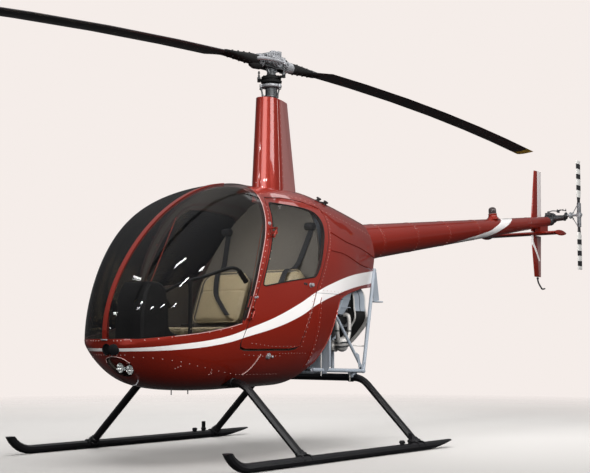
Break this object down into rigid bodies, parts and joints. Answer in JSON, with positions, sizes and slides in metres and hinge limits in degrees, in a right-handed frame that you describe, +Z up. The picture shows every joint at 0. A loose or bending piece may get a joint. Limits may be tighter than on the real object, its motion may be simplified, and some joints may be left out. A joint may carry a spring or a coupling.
{
  "type": "light two-seat piston helicopter",
  "caption": "Light piston helicopter on skids with a bubble cabin, opening doors, a teetering main rotor on a tall mast and a tail rotor that turns.",
  "frame": {"origin": "on the ground, under the middle of the whole helicopter's box, with both main blades parked fore and aft", "axes": "+X aft along the tail, +Y to starboard, +Z up"},
  "size_m": [8.225, 1.927, 2.802],
  "materials": {
    "red_paint": "gloss metallic deep red",
    "tinted_glass": "dark tinted acrylic",
    "black_plastic": "matte",
    "seat_leather": "satin olive tan",
    "grey_paint": "satin blue grey",
    "black_paint": "satin black",
    "blade_paint": "satin black",
    "grey_metal": "machined and painted grey",
    "engine_metal": "cast",
    "exhaust_steel": "heat tinted",
    "beacon_lens": "red moulded lens"
  },
  "bodies": {
    "airframe": {"beacon_light": "beacon_lens", "cabin_bulkhead": "grey_paint", "cabin_floor": "black_plastic", "cabin_roof": "red_paint", "cabin_tub": "red_paint", "cross_tube_front": "black_paint", "cross_tube_rear": "black_paint", "cyclic_control": "black_plastic", "drive_shaft": "engine_metal", "engine_block": "engine_metal", "engine_cowl_left": "red_paint", "engine_cowl_right": "red_paint", "engine_frame": "grey_paint", "exhaust_pipe": "exhaust_steel", "fan_shroud": "grey_paint", "firewall": "grey_paint", "horizontal_stabilizer": "red_paint", "instrument_console": "black_plastic", "landing_lamps": "grey_metal", "lower_fin": "red_paint", "mast_fairing": "red_paint", "mast_tube": "grey_metal", "pedals_left": "black_plastic", "pedals_right": "black_plastic", "seat_back_left": "seat_leather", "seat_back_right": "seat_leather", "seat_base": "seat_leather", "seat_cushion_left": "seat_leather", "seat_cushion_right": "seat_leather", "skid_left": "black_paint", "skid_right": "black_paint", "stabilizer_bracket": "red_paint", "swashplate_fixed": "black_paint", "tail_cone": "red_paint", "tail_gearbox": "grey_metal", "tail_skid": "black_paint", "top_cowl": "red_paint", "upper_fin": "red_paint", "windscreen_bow": "red_paint", "windscreen_left": "tinted_glass", "windscreen_right": "tinted_glass"},
    "main_rotor": {"rotor_shaft": "grey_metal", "swashplate_rotating": "black_paint", "rotor_hub": "grey_metal", "blade_grip_fore": "grey_metal", "blade_grip_aft": "grey_metal", "pitch_link_fore": "grey_metal", "pitch_link_aft": "grey_metal", "main_blade_fore": "blade_paint", "main_blade_aft": "blade_paint"},
    "tail_rotor": {"tail_rotor_hub": "grey_metal", "tail_blade_a": "blade_paint", "tail_blade_b": "blade_paint"},
    "door_left": {"door_left": "red_paint", "door_window_left": "tinted_glass"},
    "door_right": {"door_right": "red_paint", "door_window_right": "tinted_glass"}
  },
  "joints": [
    {"name": "main_rotor_spin", "type": "hinge", "parent": "airframe", "child": "main_rotor", "pos_m": [-0.27598, 0, 2.7], "axis": [0, 0, 1], "continuous": true},
    {"name": "tail_rotor_spin", "type": "hinge", "parent": "airframe", "child": "tail_rotor", "pos_m": [4.06502, -0.303, 1.96], "axis": [0, -1, 0], "continuous": true},
    {"name": "door_left_hinge", "type": "hinge", "parent": "airframe", "child": "door_left", "pos_m": [-1.01848, -0.545, 1.1], "axis": [-0.3746, 0, -0.9272], "range_deg": [0, 80]},
    {"name": "door_right_hinge", "type": "hinge", "parent": "airframe", "child": "door_right", "pos_m": [-1.01848, 0.545, 1.1], "axis": [0.3746, 0, 0.9272], "range_deg": [0, 80]}
  ]
}
